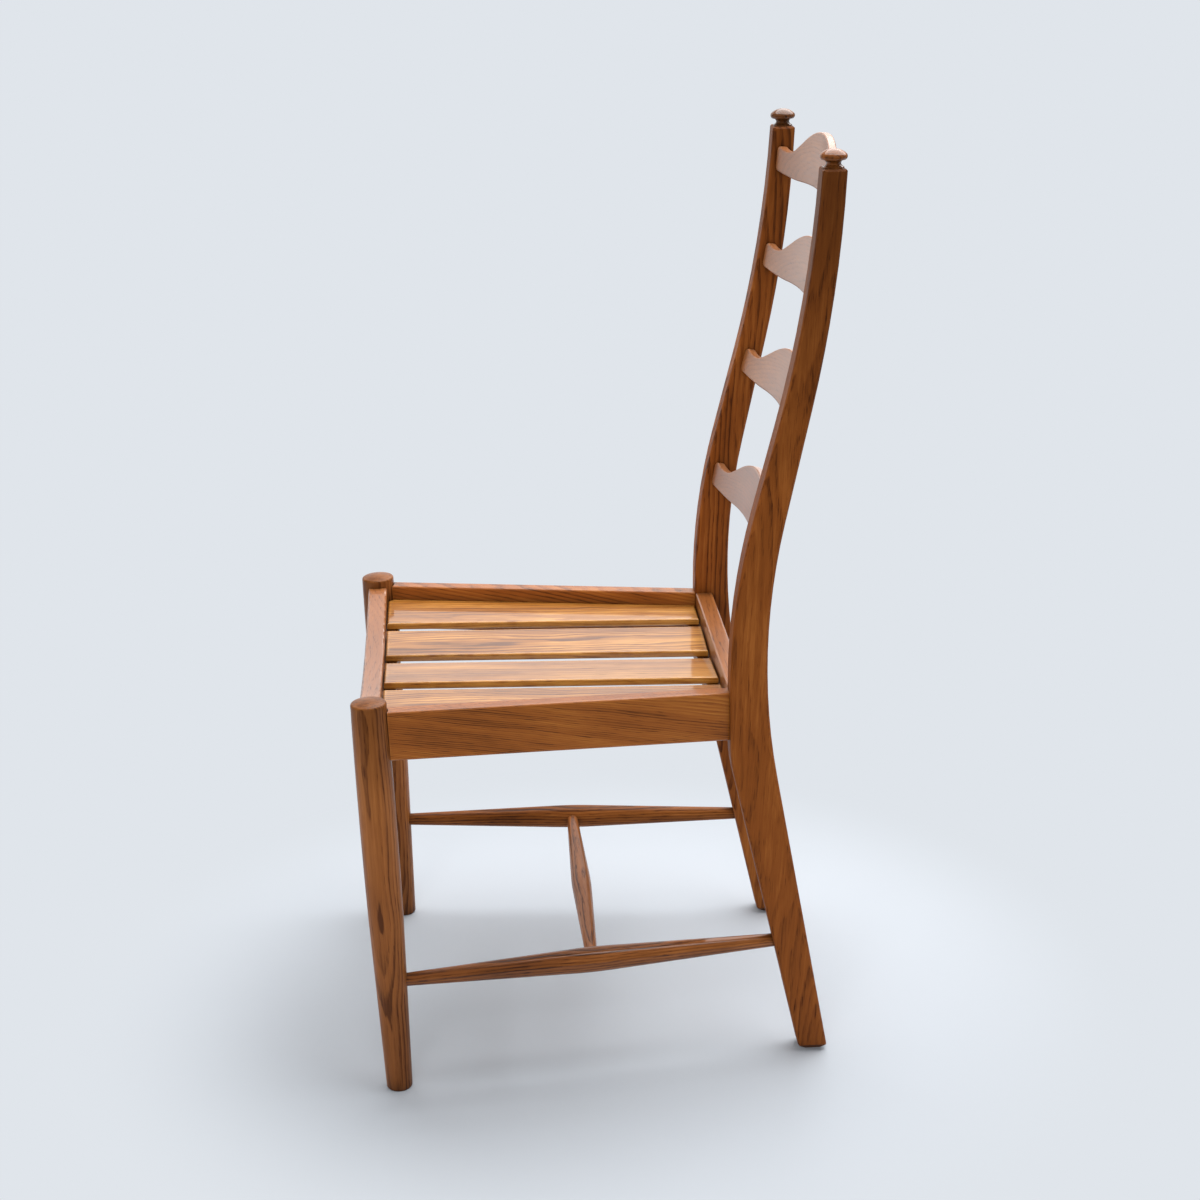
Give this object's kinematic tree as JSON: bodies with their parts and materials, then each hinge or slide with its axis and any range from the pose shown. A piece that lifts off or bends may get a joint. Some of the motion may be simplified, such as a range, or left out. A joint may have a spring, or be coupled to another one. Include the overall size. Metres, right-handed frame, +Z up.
{
  "type": "ladderback chair",
  "caption": "Armless wooden dining chair: tall curved back of wavy bowed ladder rungs, small post finials, recessed slatted seat, turned front legs and spindle stretchers.",
  "frame": {"origin": "on the floor, in the middle of the chair's width and depth", "axes": "+Z up, -Y the way the sitter faces, +X towards the sitter's left"},
  "size_m": [0.4586, 0.5326, 1.0075],
  "materials": {
    "post_wood": "dark brown stain under clear lacquer, satin",
    "finial_wood": "dark brown stain under clear lacquer, satin",
    "rung_wood": "dark brown stain under clear lacquer, satin",
    "leg_wood": "dark brown stain under clear lacquer, satin",
    "rail_wood": "dark brown stain under clear lacquer, satin",
    "slat_wood": "brown stain under clear lacquer, glossy",
    "cleat_wood": "dark brown stain, matt",
    "stretcher_wood": "dark brown stain under clear lacquer, satin",
    "dowel_wood": "bare wood, glued",
    "screw_steel": "zinc plated"
  },
  "bodies": {
    "root": {"rear_post_left": "post_wood", "rear_post_right": "post_wood", "finial_left": "finial_wood", "finial_right": "finial_wood", "ladder_rung_1": "rung_wood", "ladder_rung_2": "rung_wood", "ladder_rung_3": "rung_wood", "ladder_rung_4": "rung_wood", "front_leg_left": "leg_wood", "front_leg_right": "leg_wood", "side_rail_left": "rail_wood", "side_rail_right": "rail_wood", "front_rail": "rail_wood", "rear_rail": "rail_wood", "seat_slat_1": "slat_wood", "seat_slat_2": "slat_wood", "seat_slat_3": "slat_wood", "seat_slat_4": "slat_wood", "front_cleat": "cleat_wood", "rear_cleat": "cleat_wood", "side_stretcher_left": "stretcher_wood", "side_stretcher_right": "stretcher_wood", "cross_stretcher": "stretcher_wood", "side_rail_dowels": "dowel_wood", "front_rail_dowels": "dowel_wood", "rear_rail_dowels": "dowel_wood", "slat_screws": "screw_steel", "cleat_screws": "screw_steel"}
  },
  "joints": []
}
